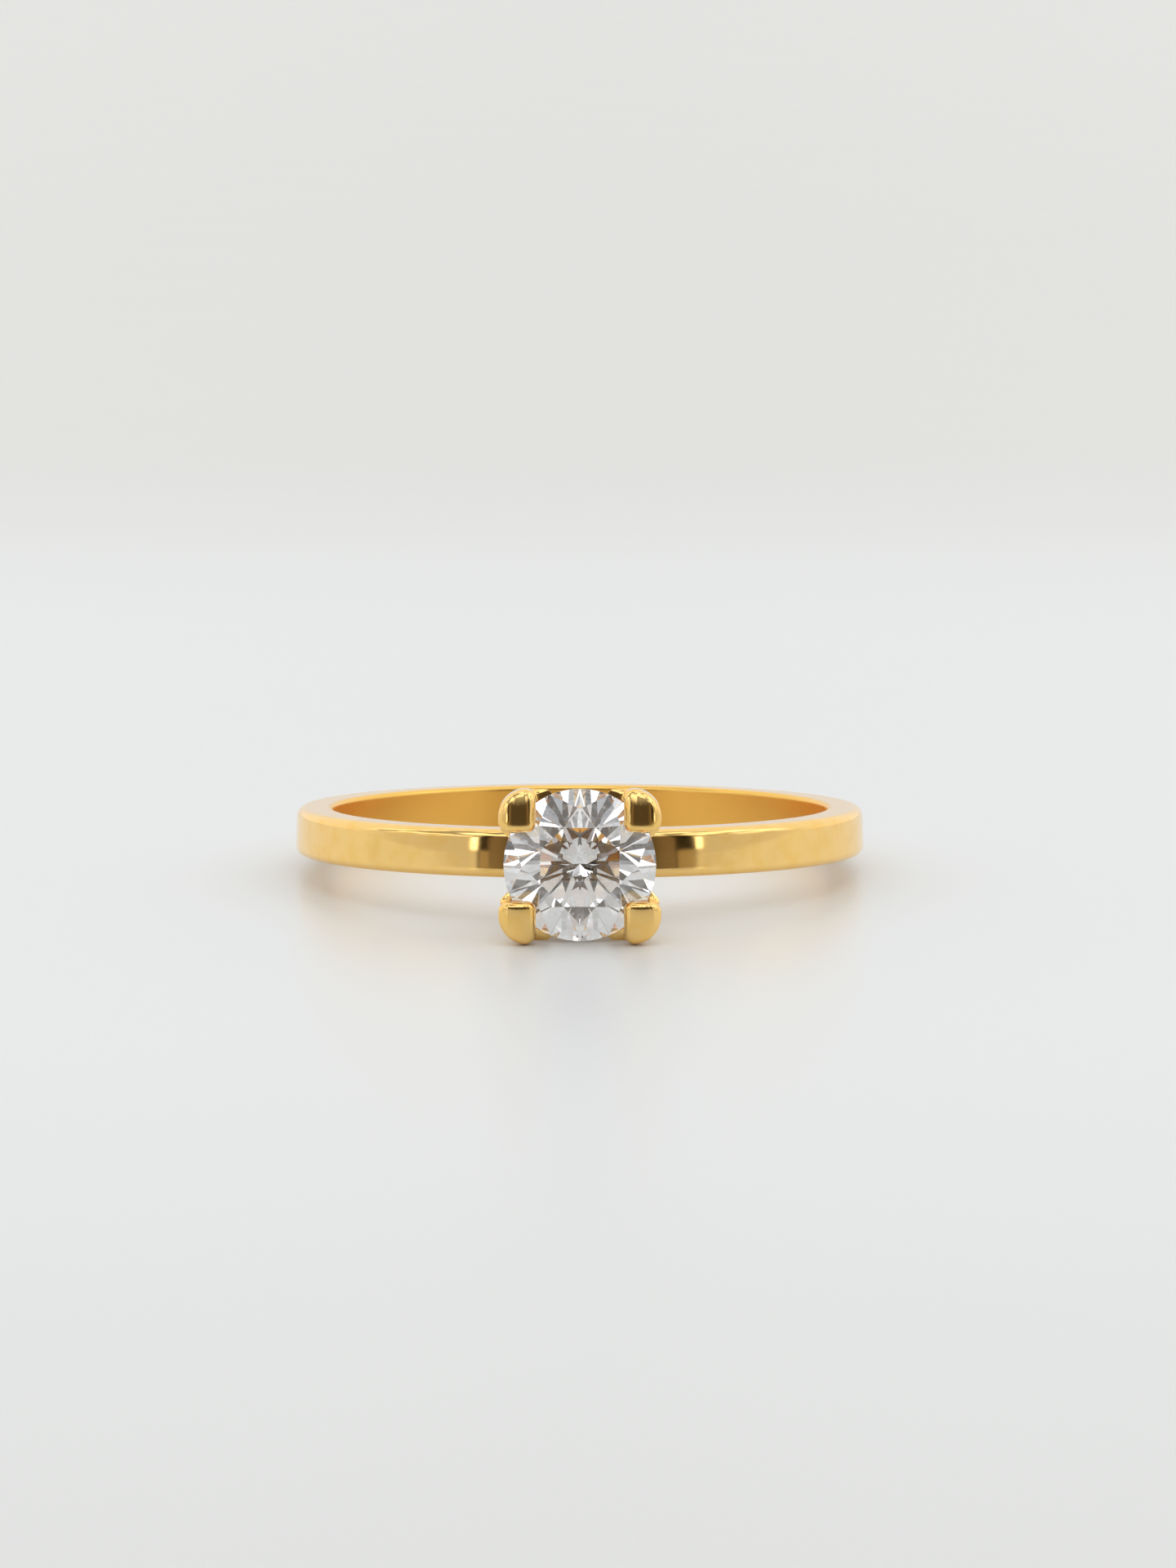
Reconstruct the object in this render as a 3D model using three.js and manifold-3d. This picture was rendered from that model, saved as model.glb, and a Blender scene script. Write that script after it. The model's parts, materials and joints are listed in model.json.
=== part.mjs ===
// A four-claw solitaire engagement ring in yellow gold, lying on its side with
// the stone facing forward. Every piece is its own named mesh.
//
// The pieces are built round the finger's axis: Y is that axis, and Z points
// out of the finger through the middle of the stone. The whole ring is then
// laid down on its two lower claws and the back edge of the band, which puts
// the stone towards -Y and the ground at z = 0. Millimetres throughout.
import * as THREE from "three";
import { ConvexGeometry } from "three/addons/geometries/ConvexGeometry.js";
import { mergeVertices } from "three/addons/utils/BufferGeometryUtils.js";
import Module from "manifold-3d";

// ---- Driving dimensions ----

const innerRadius = 8.8; // a finger hole of 17.6 mm, about US size 7 1/2
const bandThickness = 1.3; // from the finger outwards
const bandWidth = 1.65; // along the finger
const outerEdgeRadius = 0.28; // rounding of the two outer edges
const innerEdgeRadius = 0.16; // rounding of the two inner edges
const domeRise = 0.04; // crown of the outer face over its flat edges
const bandSides = 96; // facets round the band

const stoneDiameter = 5.1; // a round brilliant of about half a carat
const girdleHeight = 13.7; // from the finger's axis to the middle of the girdle
const girdleThickness = 0.14; // where a main facet meets it, its thickest place
const tableShare = 0.56; // table width over stone diameter
const crownAngle = THREE.MathUtils.degToRad(34.5);
const pavilionAngle = THREE.MathUtils.degToRad(41.5);
const stoneTurn = Math.PI / 8; // so that a side of the table faces each pair of claws
const starShare = 0.5; // how far the star facets reach from table to girdle
const lowerShare = 0.88; // how far the lower facets reach from girdle to culet
const arcSteps = 4; // short girdle sides under each of its 16 facets

const headHalfWidth = 2.72; // outside of the claws, across the finger
const headHalfHeight = 2.6; // outside of the claws, along the finger
const tipInnerX = 1.47; // straight inner edges of a claw tip
const tipInnerY = 1.17;
const tipOuterCorner = 0.78; // big rounding of a tip's outer corner
const tipSideCorner = 0.3; // its two side corners
const tipInnerCorner = 0.26; // the corner that lies over the stone
const tipRise = 0.85; // from the middle of the girdle to the front of the tips
const tipDrop = 0.1; // how far the tip's straight sides reach behind the girdle
const tipEdge = 0.2; // rounding of a tip's front edges

const legHalfWidth = 1.06; // a claw's leg behind the girdle, across its diagonal
const legInset = 0.06; // how far a leg's outside stands in from the tip's
const legInner = 2.1; // a leg's inner face, from the head's axis
const legOuterCorner = 0.7;
const legEdge = 0.08; // a leg's other edges
const footShare = 0.53; // size of the legs' feet over their size at the girdle

const railHeight = 12.1; // middle of the gallery rail, from the finger's axis
const railInner = 1.3;
const railOuter = 1.88;
const railThickness = 0.52;
const railEdge = 0.14;
const colletInner = 0.75;
const colletOuter = 1.32;
const colletTop = 10.95; // from the finger's axis
const colletEdge = 0.14;
const ringSides = 48; // facets round the rail and the collet

const joint = 0.03; // solder line or setting clearance between two pieces

// ---- Values that follow from them ----

const outerRadius = innerRadius + bandThickness;
const halfWidth = bandWidth / 2;
const stoneRadius = stoneDiameter / 2;
const footHeight = outerRadius - 0.6; // deep enough to be trimmed by the band

// The lowest lines of the lying ring are the girdle end of the two lower claw
// tips and the rounded back edge of the band. The lean is the slope of the
// line that touches both.
const tipBack = girdleHeight - tipDrop;
const backEdge = new THREE.Vector2(
  -(outerRadius - outerEdgeRadius),
  -(halfWidth - outerEdgeRadius),
);
const backToTip = new THREE.Vector2(tipBack, -headHalfHeight).sub(backEdge);
const lean =
  Math.asin(-backToTip.y / backToTip.length()) -
  Math.asin(outerEdgeRadius / backToTip.length());

const gold = new THREE.MeshStandardMaterial({
  color: 0xe8bb66,
  roughness: 0.12,
  metalness: 1,
});
const diamond = new THREE.MeshStandardMaterial({
  color: 0xeef1f6,
  roughness: 0.02,
  metalness: 0,
});

// ---- Solids: geometry in, geometry out ----

const wasm = await Module();
wasm.setup();

function solidOf(geometry) {
  const bare = geometry.clone();
  bare.deleteAttribute("normal");
  bare.deleteAttribute("uv");
  const merged = mergeVertices(bare, 1e-4);
  return new wasm.Manifold(
    new wasm.Mesh({
      numProp: 3,
      vertProperties: merged.attributes.position.array,
      triVerts: new Uint32Array(merged.index.array),
    }),
  );
}

function geometryOf(solid) {
  const mesh = solid.getMesh();
  const geometry = new THREE.BufferGeometry();
  geometry.setAttribute(
    "position",
    new THREE.BufferAttribute(mesh.vertProperties, 3),
  );
  geometry.setIndex(new THREE.BufferAttribute(mesh.triVerts, 1));
  const faceted = geometry.toNonIndexed();
  faceted.computeVertexNormals();
  return faceted;
}

// An outline whose corners are arcs: the corners go round anticlockwise, and
// each has its own radius.
function roundedOutline(corners, curveSteps) {
  const points = [];
  corners.forEach(({ at, radius }, i) => {
    const before = corners.at(i - 1).at;
    const after = corners[(i + 1) % corners.length].at;
    const toBefore = before.clone().sub(at).normalize();
    const toAfter = after.clone().sub(at).normalize();
    const halfTurn = Math.acos(toBefore.dot(toAfter)) / 2;
    const reach = radius / Math.tan(halfTurn);
    const start = at.clone().addScaledVector(toBefore, reach);
    const end = at.clone().addScaledVector(toAfter, reach);
    const middle = toBefore.clone().add(toAfter).normalize();
    const centre = at.clone().addScaledVector(middle, radius / Math.sin(halfTurn));
    const from = start.clone().sub(centre).angle();
    let turn = end.clone().sub(centre).angle() - from;
    if (turn < 0) turn += 2 * Math.PI;
    for (let k = 0; k <= curveSteps; k++) {
      const angle = from + (turn * k) / curveSteps;
      points.push(
        new THREE.Vector2(
          centre.x + radius * Math.cos(angle),
          centre.y + radius * Math.sin(angle),
        ),
      );
    }
  });
  return points;
}

const corner = (x, y, radius) => ({ at: new THREE.Vector2(x, y), radius });

// A ring turned round the Y axis from a closed outline in radius and height.
function turned(outline, sides) {
  return new THREE.LatheGeometry([...outline, outline[0]], sides);
}

// ---- Band ----

// A rounded rectangle turned round the finger, its outer face a low dome.
function shankGeometry() {
  const flat = halfWidth - outerEdgeRadius;
  const outline = roundedOutline(
    [
      corner(innerRadius, -halfWidth, innerEdgeRadius),
      corner(outerRadius - domeRise, -halfWidth, outerEdgeRadius),
      corner(outerRadius - domeRise, halfWidth, outerEdgeRadius),
      corner(innerRadius, halfWidth, innerEdgeRadius),
    ],
    4,
  );
  const dome = [-0.5, 0, 0.5].map(
    (share) => new THREE.Vector2(outerRadius - domeRise * share ** 2, share * flat),
  );
  outline.splice(outline.length / 2, 0, ...dome);
  return turned(outline, bandSides);
}

// ---- Stone ----

// The corners of a round brilliant with 57 facets. crown(r) and pavilion(r)
// are the heights of the main facets at distance r along their own direction,
// and the culet is where the eight pavilion mains meet.
function brilliantPoints(radius) {
  const half = girdleThickness / 2;
  const eighth = Math.PI / 4;
  const sixteenth = Math.PI / 8;
  const crown = (r) => half + (radius - r) * Math.tan(crownAngle);
  const pavilion = (r) => -half - (radius - r) * Math.tan(pavilionAngle);
  const tableRadius = tableShare * radius;
  const tableEdge = tableRadius * Math.cos(sixteenth);
  const starTip = tableEdge + starShare * (radius - tableEdge);
  const lowerTip = (1 - lowerShare) * radius;
  const at = (r, angle, height) =>
    new THREE.Vector3(r * Math.cos(angle), r * Math.sin(angle), girdleHeight + height);

  // Each half facet meets the round girdle in a shallow scallop, where its
  // plane cuts the cylinder.
  const scallop = (tip, first, last, edge) => {
    const plane = new THREE.Plane().setFromCoplanarPoints(
      tip,
      at(radius, first, edge),
      at(radius, last, edge),
    );
    return Array.from({ length: arcSteps }, (_, step) => {
      const point = at(radius, first + ((last - first) * step) / arcSteps, edge);
      point.z -= plane.distanceToPoint(point) / plane.normal.z;
      return point;
    });
  };

  const points = [at(0, 0, pavilion(0))];
  for (let k = 0; k < 8; k++) {
    const main = k * eighth + stoneTurn;
    const between = main + sixteenth;
    const star = at(starTip, between, crown(starTip * Math.cos(sixteenth)));
    const lower = at(lowerTip, between, pavilion(lowerTip * Math.cos(sixteenth)));
    points.push(at(tableRadius, main, crown(tableRadius)), star, lower);
    for (const first of [main, between]) {
      const last = first + sixteenth;
      points.push(...scallop(star, first, last, half));
      points.push(...scallop(lower, first, last, -half));
    }
  }
  return points;
}

const stoneGeometry = (radius) => new ConvexGeometry(brilliantPoints(radius));

// ---- Head ----

// The ring of rounded square wire that ties the four claws together under the
// stone. grow makes it bigger all round, as the tool for its seats.
function railGeometry(grow = 0) {
  const half = railThickness / 2 + grow;
  const inner = railInner - grow;
  const outer = railOuter + grow;
  const outline = roundedOutline(
    [
      corner(inner, -half, railEdge),
      corner(outer, -half, railEdge),
      corner(outer, half, railEdge),
      corner(inner, half, railEdge),
    ],
    3,
  );
  return turned(outline, ringSides)
    .rotateX(Math.PI / 2)
    .translate(0, 0, railHeight);
}

// The short tube that carries the claws' feet. Its own foot reaches below the
// band's face, which trims it to a saddle.
function colletGeometry(grow = 0) {
  const height = colletTop - footHeight;
  const outline = roundedOutline(
    [
      corner(colletInner, -height, colletEdge),
      corner(colletOuter + grow, -height, colletEdge),
      corner(colletOuter + grow, grow, colletEdge),
      corner(colletInner, grow, colletEdge),
    ],
    3,
  );
  return turned(outline, ringSides)
    .rotateX(Math.PI / 2)
    .translate(0, 0, colletTop);
}

// A claw's tip, where x and y are both positive: straight edges towards its
// neighbours, one big round outer corner, and a front that folds over the stone.
function tipGeometry() {
  const outline = roundedOutline(
    [
      corner(tipInnerX, tipInnerY, tipInnerCorner),
      corner(headHalfWidth, tipInnerY, tipSideCorner),
      corner(headHalfWidth, headHalfHeight, tipOuterCorner),
      corner(tipInnerX, headHalfHeight, tipSideCorner),
    ],
    5,
  );
  return new THREE.ExtrudeGeometry(new THREE.Shape(outline), {
    depth: tipRise + tipDrop - tipEdge,
    bevelThickness: tipEdge,
    bevelSize: tipEdge,
    bevelOffset: -tipEdge,
    bevelSegments: 3,
  }).translate(0, 0, tipBack);
}

// A claw's leg: a bar along the head's diagonal, wider than the tip, that
// narrows evenly towards the band.
function legGeometry() {
  const outerX = headHalfWidth - legInset;
  const outerY = headHalfHeight - legInset;
  const skew = legHalfWidth * Math.SQRT2;
  const innerSum = legInner * Math.SQRT2;
  const outline = roundedOutline(
    [
      corner((innerSum - skew) / 2, (innerSum + skew) / 2, legEdge),
      corner((innerSum + skew) / 2, (innerSum - skew) / 2, legEdge),
      corner(outerX, outerX - skew, legEdge),
      corner(outerX, outerY, legOuterCorner),
      corner(outerY - skew, outerY, legEdge),
    ],
    4,
  );
  const length = girdleHeight - footHeight;
  const leg = new THREE.ExtrudeGeometry(new THREE.Shape(outline), {
    depth: length,
    bevelEnabled: false,
  });
  const position = leg.attributes.position;
  for (let i = 0; i < position.count; i++) {
    const share = THREE.MathUtils.lerp(footShare, 1, position.getZ(i) / length);
    position.setXY(i, position.getX(i) * share, position.getY(i) * share);
  }
  return leg.translate(0, 0, footHeight);
}

// ---- Fitting the head together ----

const bandFace = solidOf(
  new THREE.CylinderGeometry(
    outerRadius + joint,
    outerRadius + joint,
    4 * headHalfHeight,
    4 * bandSides,
  ),
);
const stoneSeat = solidOf(stoneGeometry(stoneRadius + joint));

const collet = geometryOf(solidOf(colletGeometry()).subtract(bandFace));
const claw = geometryOf(
  solidOf(tipGeometry())
    .add(solidOf(legGeometry()))
    .subtract(stoneSeat)
    .subtract(solidOf(railGeometry(joint)))
    .subtract(solidOf(colletGeometry(joint)))
    .subtract(bandFace),
);

const ring = new THREE.Group();

function addPiece(name, geometry, material) {
  const piece = new THREE.Mesh(geometry, material);
  piece.name = name;
  ring.add(piece);
  return piece;
}

addPiece("shank", shankGeometry(), gold);
addPiece("base_collet", collet, gold);
addPiece("gallery_rail", railGeometry(), gold);
addPiece("stone", stoneGeometry(stoneRadius), diamond);
for (const [level, sideY] of [
  ["upper", 1],
  ["lower", -1],
])
  for (const [side, sideX] of [
    ["left", -1],
    ["right", 1],
  ])
    addPiece(`claw_${level}_${side}`, claw, gold).scale.set(sideX, sideY, 1);

// ---- The lying ring, standing on z = 0 over the middle of its outline ----

ring.rotation.x = Math.PI / 2 - lean;
ring.updateMatrixWorld(true);
const outside = new THREE.Box3().setFromObject(ring, true);
const middle = outside.getCenter(new THREE.Vector3());
ring.position.set(-middle.x, -middle.y, -outside.min.z);

export default ring;
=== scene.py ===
# %% [markdown]
# # A four-claw solitaire ring
#
# The ring lies on its side on a white table, its stone towards us. It is made
# of eight pieces: the finger band, a short collet on the band, a gallery rail,
# four claws and a round brilliant. Each piece is a surface worked out with
# numpy, built inside the measured frame that the workshop drawing gives.

import json

import bpy
import numpy as np
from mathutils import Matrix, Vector

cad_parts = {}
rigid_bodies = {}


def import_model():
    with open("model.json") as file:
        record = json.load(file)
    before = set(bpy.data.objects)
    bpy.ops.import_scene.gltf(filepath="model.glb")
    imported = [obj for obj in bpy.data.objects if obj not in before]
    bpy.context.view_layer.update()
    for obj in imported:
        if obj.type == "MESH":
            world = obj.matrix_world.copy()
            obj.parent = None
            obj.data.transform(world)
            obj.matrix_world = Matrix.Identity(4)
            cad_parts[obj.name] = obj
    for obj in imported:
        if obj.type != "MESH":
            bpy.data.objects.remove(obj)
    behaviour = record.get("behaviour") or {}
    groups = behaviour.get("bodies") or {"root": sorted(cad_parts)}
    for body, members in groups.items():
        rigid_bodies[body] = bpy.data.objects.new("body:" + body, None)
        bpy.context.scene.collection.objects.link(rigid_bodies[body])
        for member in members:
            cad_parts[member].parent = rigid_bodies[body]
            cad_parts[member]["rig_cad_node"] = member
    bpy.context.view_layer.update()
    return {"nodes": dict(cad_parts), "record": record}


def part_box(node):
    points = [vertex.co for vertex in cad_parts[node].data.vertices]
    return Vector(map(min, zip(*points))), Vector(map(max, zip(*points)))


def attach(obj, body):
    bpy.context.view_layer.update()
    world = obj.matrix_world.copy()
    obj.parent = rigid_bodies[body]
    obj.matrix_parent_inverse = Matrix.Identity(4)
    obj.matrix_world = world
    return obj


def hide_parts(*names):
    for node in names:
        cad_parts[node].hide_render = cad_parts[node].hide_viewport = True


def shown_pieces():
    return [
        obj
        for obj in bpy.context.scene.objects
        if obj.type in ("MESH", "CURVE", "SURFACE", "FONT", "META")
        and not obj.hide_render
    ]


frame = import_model()
print("frame pieces:", sorted(frame["nodes"]))

# %% [markdown]
# ## The ring's own directions
#
# The ring leans a little, because it rests on two claws and the back edge of
# its band. It is far easier to shape a ring upright and lay it down at the
# end, so every piece is worked out in the ring's own directions: X across,
# F along the finger, and S out through the middle of the stone. The finger's
# direction is written in the record, as the facing of the band's upper side.
# Sizes here are in millimetres, and `lay_down` turns them into metres.

# %% The ring's directions
sides = {side["name"]: side for side in frame["record"]["mounts"]}
finger = np.array(sides["band_side_upper"]["axis"])
across = np.array([1.0, 0.0, 0.0])
outward = np.array([0.0, -finger[2], finger[1]])
band_low, band_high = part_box("shank")
centre = 500 * (np.array(band_low) + np.array(band_high))


def lay_down(points):
    """Ring position (x, f, s) in mm becomes a place on the table in metres:
    the centre plus x, f and s steps along the ring's three directions."""
    turned = points @ np.array([across, finger, outward])
    return (centre + turned) / 1000


def stand_up(name):
    """The corners of a frame piece, in mm along the ring's own directions."""
    mesh = frame["nodes"][name].data
    flat = np.empty(3 * len(mesh.vertices))
    mesh.vertices.foreach_get("co", flat)
    return (1000 * flat.reshape(-1, 3) - centre) @ np.array([across, finger, outward]).T


print("lean of the ring, degrees:", round(float(np.degrees(np.arcsin(finger[1]))), 3))

# %% [markdown]
# ## The camera
#
# A small thing keeps its proportions when it is seen from far off through a
# long lens. The camera stands 220 mm away, a little above the table, and looks
# just past the middle of the ring.

# %% Camera
CAMERA_DISTANCE = 0.220
CAMERA_RISE = np.radians(9.42)
AIM_UP = np.radians(0.414)
AIM_RIGHT = np.radians(0.077)

camera_data = bpy.data.cameras.new("camera")
camera_data.sensor_width = 36.0
camera_data.lens = 141.8
camera = bpy.data.objects.new("camera", camera_data)
away = np.array([0.0, -np.cos(CAMERA_RISE), np.sin(CAMERA_RISE)])
camera.location = centre / 1000 + CAMERA_DISTANCE * away
camera.rotation_euler = (np.pi / 2 - CAMERA_RISE + AIM_UP, 0.0, -AIM_RIGHT)
bpy.context.scene.collection.objects.link(camera)
bpy.context.scene.camera = camera
print("camera height above the table, mm:", round(1000 * camera.location.z, 1))

# %% [markdown]
# ## A shell from rows of points
#
# Most pieces of jewellery are closed shells. One helper makes them all: it
# takes a grid of points, whose rows go round the piece, and joins each point
# to its neighbours with four-sided faces. The ends are closed by a pole, or
# joined to each other where the shell is a ring. The volume inside says
# whether the faces point outwards, and they are turned over if they don't.


# %% Shell helper
def enclosed(points, quads):
    """Volume inside the faces: the sum, over two triangles for each face, of
    the triple product of its corners, divided by six."""
    a, b, c, d = (points[quads[:, k]] for k in range(4))
    halves = np.cross(a, b) * c + np.cross(a, c) * d
    return float(halves.sum()) / 6


def shell(name, rows, ring=False, poles=()):
    """A closed mesh from rows[i, j], which goes round in j. ring joins the
    last row to the first; poles are the points that close the two ends."""
    count, around = rows.shape[:2]
    points = rows.reshape(-1, 3)
    above = np.arange(count if ring else count - 1)[:, None] * around
    below = (above + around) % (count * around)
    here = np.arange(around)[None, :]
    there = (here + 1) % around
    quads = np.stack([above + here, above + there, below + there, below + here], -1)
    quads = quads.reshape(-1, 4)
    if len(poles):
        first = count * around
        points = np.vstack([points, poles])
        start = np.stack([there[0], here[0], first + 0 * here[0], first + 0 * here[0]], -1)
        offset = (count - 1) * around
        end = np.stack([offset + here[0], offset + there[0]], -1)
        end = np.hstack([end, np.full((around, 2), first + 1)])
        quads = np.vstack([start, quads, end])
    if enclosed(points, quads) < 0:
        quads = quads[:, ::-1]
    return piece(name, points, quads)


def piece(name, points, faces):
    """A named mesh riding on the ring's one body, laid down on the table.
    A corner that a face names twice in a row is dropped."""
    faces = [list(dict.fromkeys(face)) for face in np.asarray(faces).tolist()]
    mesh = bpy.data.meshes.new(name)
    mesh.from_pydata(lay_down(points).tolist(), [], faces)
    mesh.shade_smooth()
    made = bpy.data.objects.new(name, mesh)
    bpy.context.scene.collection.objects.link(made)
    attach(made, "root")
    print(f"{name}: {len(points)} points, {len(faces)} faces")
    return made


# %% [markdown]
# ## Rounded outlines
#
# A goldsmith files every edge, so every section here has rounded corners.
# An outline is its corners and a radius for each. Spreading the points evenly
# along it keeps the reflections smooth.


# %% Rounded outline helper
def rounded(corners, radii, steps=12):
    """The outline of a polygon with its corners replaced by arcs. Each arc's
    centre lies on the corner's bisector, radius / sin(half angle) away."""
    corners = np.array(corners, float)
    radii = np.array(radii, float)[:, None]
    back = np.roll(corners, 1, 0) - corners
    ahead = np.roll(corners, -1, 0) - corners
    back /= np.linalg.norm(back, axis=1, keepdims=True)
    ahead /= np.linalg.norm(ahead, axis=1, keepdims=True)
    bisector = back + ahead
    bisector /= np.linalg.norm(bisector, axis=1, keepdims=True)
    half = np.arccos(np.clip((back * bisector).sum(1, keepdims=True), -1, 1))
    middle = corners + bisector * radii / np.sin(half)
    reach = radii / np.tan(half)
    start = corners + back * reach - middle
    share = np.linspace(0, 1, steps)[None, :]
    turn = (np.pi - 2 * half) * share
    cos, sin = np.cos(turn), np.sin(turn)
    x = start[:, :1] * cos - start[:, 1:] * sin
    y = start[:, :1] * sin + start[:, 1:] * cos
    return np.stack([x + middle[:, :1], y + middle[:, 1:]], -1).reshape(-1, 2)


def evenly(outline, count):
    """The closed outline again, with count points at equal distances."""
    closed = np.vstack([outline, outline[:1]])
    lengths = np.linalg.norm(np.diff(closed, axis=0), axis=1)
    along = np.concatenate([[0], np.cumsum(lengths)])
    wanted = np.linspace(0, along[-1], count, endpoint=False)
    return np.stack([np.interp(wanted, along, closed[:, k]) for k in (0, 1)], -1)


# %% [markdown]
# ## The finger band
#
# The band is drawn and rolled wire, bent round and soldered shut, then filed
# to a slim rounded section: soft inner edges for comfort, crisper outer edges
# and an outer face that is almost flat. A lathe-like surface gives exactly
# that: one section, carried round the finger. It could also be a curve with a
# bevel, but the section's own corners are easier to hold in numbers.

# %% Band sizes
band = stand_up("shank")
OUTER = float(np.hypot(band[:, 0], band[:, 2]).max())
INNER = float(np.hypot(band[:, 0], band[:, 2]).min())
HALF_WIDTH = float(band[:, 1].max())
OUTER_EDGE = 0.28
INNER_EDGE = 0.16
FACE_SLOPE = 0.022
UPPER_CROWN = 0.035
print("band radii and half width:", round(INNER, 3), round(OUTER, 3), round(HALF_WIDTH, 3))

# %% [markdown]
# The section is a rounded rectangle that stands at the band's radius. Turning
# it once round the finger closes the ring, so it needs no ends. The outer face
# is filed a little out of square, as hand work is, and that slope decides which
# part of the room the band mirrors.

# %% Band surface
BAND_AROUND = 640
section = rounded(
    [(INNER, -HALF_WIDTH), (OUTER, -HALF_WIDTH), (OUTER, HALF_WIDTH), (INNER, HALF_WIDTH)],
    [INNER_EDGE, OUTER_EDGE, OUTER_EDGE, INNER_EDGE],
)
section = evenly(section, 120)


def turned_band(around):
    """Section (r, f) at angle t is the point (r sin t, f, r cos t). The outer
    face is filed a little out of square: r falls by FACE_SLOPE times the
    height over the lower edge, and by UPPER_CROWN (f / half width)^2 above."""
    angle = np.linspace(0, 2 * np.pi, around, endpoint=False)[:, None]
    face = np.clip((section[:, 0] - INNER) / (OUTER - INNER), 0, 1)
    share = section[:, 1] / HALF_WIDTH
    filed = FACE_SLOPE * (section[:, 1] + HALF_WIDTH) + UPPER_CROWN * np.maximum(share, 0) ** 2
    radius = section[:, 0] - face * filed
    x = radius * np.sin(angle)
    f = section[:, 1] + 0 * angle
    s = radius * np.cos(angle)
    return np.stack([x, f, s], -1)


shank = shell("finger_band", turned_band(BAND_AROUND), ring=True)
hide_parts("shank")

# %% [markdown]
# The wheel can't reach the inside of a ring as well as the outside, so it is
# polished less. A number stored on the points, `inside`, tells the finish
# where that is: 1 on the inner face, fading to 0 over its rounded edges. The
# finish also deepens the gold's colour there, which is painted reflection: the
# richer gold of light bounced between the ring's inner walls.

# %% Mark the inner face
depth = np.clip((INNER + 0.20 - section[:, 0]) / 0.15, 0, 1)
inner_mark = shank.data.attributes.new("inside", "FLOAT", "POINT")
inner_mark.data.foreach_set("value", np.tile(depth, BAND_AROUND))
print("points on the inner face:", int((depth > 0.5).sum()) * BAND_AROUND)

# %% [markdown]
# ## The round brilliant
#
# The stone has 57 facets: a table, eight stars, eight kites and sixteen upper
# halves above the girdle, then sixteen lower halves and eight long mains that
# meet at the culet. Light comes back from a brilliant only if every facet is
# truly flat, so nothing is smoothed here: the corners are computed from the
# cutter's proportions, and where a half facet runs into the round girdle its
# corners are put exactly in its own plane, which gives the girdle its scallops.

# %% Stone sizes
stone_points = stand_up("stone")
STONE = float(np.hypot(stone_points[:, 0], stone_points[:, 1]).max())
TABLE_TOP = float(stone_points[:, 2].max())
CROWN_SLOPE = np.tan(np.radians(34.5))
PAVILION_SLOPE = np.tan(np.radians(41.5))
GIRDLE_HALF = 0.07
TABLE_SHARE = 0.56
GIRDLE = TABLE_TOP - GIRDLE_HALF - STONE * (1 - TABLE_SHARE) * CROWN_SLOPE
EIGHTH = np.pi / 4
STONE_TURN = EIGHTH / 2
LOWER_SHARE = 0.88
print("stone radius, girdle height:", round(STONE, 3), round(GIRDLE, 3))

# %% [markdown]
# A cutter thinks in slopes: the crown's main facets stand at 34.5 degrees to
# the girdle, the pavilion's at 41.5. A corner's height then follows from its
# distance to the axis. The corners lie in rings of eight, either on the mains
# or halfway between them.


# %% Stone corners
def polar(radius, angle, height):
    """Points at a radius, an angle and a height over the girdle's middle."""
    radius, angle, height = np.broadcast_arrays(radius, angle, height)
    return np.stack([radius * np.cos(angle), radius * np.sin(angle), GIRDLE + height], -1)


def crown(radius):
    """Height of a crown main at a distance along its own direction."""
    return GIRDLE_HALF + (STONE - radius) * CROWN_SLOPE


def pavilion(radius):
    """Height of a pavilion main at a distance along its own direction."""
    return -GIRDLE_HALF - (STONE - radius) * PAVILION_SLOPE


mains = STONE_TURN + EIGHTH * np.arange(8)
betweens = mains + EIGHTH / 2
table_radius = TABLE_SHARE * STONE
table_edge = table_radius * np.cos(EIGHTH / 2)
star_radius = table_edge + 0.5 * (STONE - table_edge)
lower_radius = (1 - LOWER_SHARE) * STONE
table_corners = polar(table_radius, mains, crown(table_radius))
star_tips = polar(star_radius, betweens, crown(star_radius * np.cos(EIGHTH / 2)))
lower_tips = polar(lower_radius, betweens, pavilion(lower_radius * np.cos(EIGHTH / 2)))
culet = polar(0.0, 0.0, pavilion(0.0))
print("table above and culet below the girdle:", np.round([crown(table_radius), pavilion(0.0)], 3))

# %% [markdown]
# A half facet is fixed by three corners, and its plane cuts the round girdle in
# a curve. Following that curve keeps the facet flat and gives the girdle its
# wavy edge, which a straight line between two corners would not.


# %% Facet planes and the scalloped girdle
def planes(first, second, third):
    """Unit normals, pointing away from the stone's middle, and the distance
    of each plane from the ring's centre, for rows of three corners."""
    normal = np.cross(second - first, third - first)
    normal /= np.linalg.norm(normal, axis=1, keepdims=True)
    middle = np.array([0.0, 0.0, GIRDLE])
    normal *= np.sign(((first - middle) * normal).sum(1, keepdims=True))
    return normal, (first * normal).sum(1)


GIRDLE_STEPS = 12
half_starts = STONE_TURN + np.arange(16) * EIGHTH / 2
owners = np.arange(16) // 2


def half_facets(tips, edge):
    """The sixteen half facets on one side of the girdle: their planes pass
    through a tip and the girdle at both ends of a sixteenth of the circle."""
    first = polar(STONE, half_starts, edge)
    last = polar(STONE, half_starts + EIGHTH / 2, edge)
    return planes(tips[owners], first, last)


def scallops(tips, edge):
    """Girdle points in each half facet's plane: the height where the plane
    n . p = d is met above the point (x, y), so z = (d - nx x - ny y) / nz."""
    normal, distance = half_facets(tips, edge)
    angle = half_starts[:, None] + np.linspace(0, EIGHTH / 2, GIRDLE_STEPS, endpoint=False)
    x, y = STONE * np.cos(angle), STONE * np.sin(angle)
    z = (distance[:, None] - normal[:, :1] * x - normal[:, 1:2] * y) / normal[:, 2:]
    return np.stack([x, y, z], -1).reshape(-1, 3)


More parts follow.
